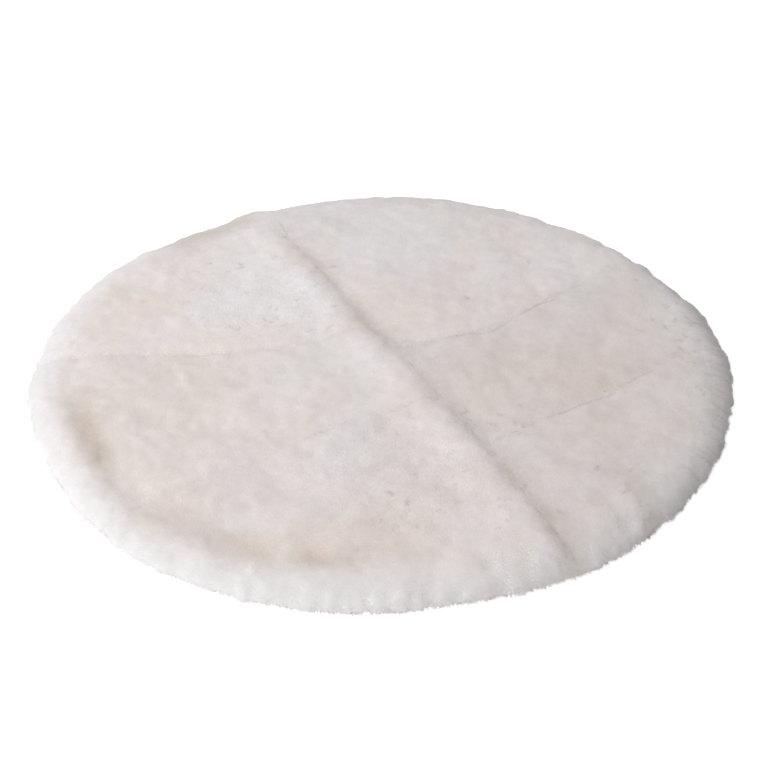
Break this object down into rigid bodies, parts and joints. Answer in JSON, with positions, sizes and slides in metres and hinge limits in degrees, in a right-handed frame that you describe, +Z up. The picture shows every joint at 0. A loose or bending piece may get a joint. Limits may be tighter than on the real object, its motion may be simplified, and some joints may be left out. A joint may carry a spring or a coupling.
{
  "type": "sheepskin rug",
  "caption": "Round sheepskin rug with dense ivory shorn wool, sewn edge to edge from panels, with soft wool locks round its rim.",
  "frame": {"origin": "on the floor, under the middle of the rug's box", "axes": "+Z up through the pile, -Y towards the viewer, +X to the viewer's right"},
  "size_m": [1.0575, 1.0446, 0.052],
  "materials": {
    "wool": "dense ivory wool, soft and matt",
    "hide": "tanned suede side of the skin, matt"
  },
  "bodies": {
    "root": {"panel_left_back": "wool", "panel_left_middle": "wool", "panel_left_front": "wool", "panel_right_back": "wool", "panel_right_middle": "wool", "panel_right_front": "wool"}
  },
  "joints": []
}
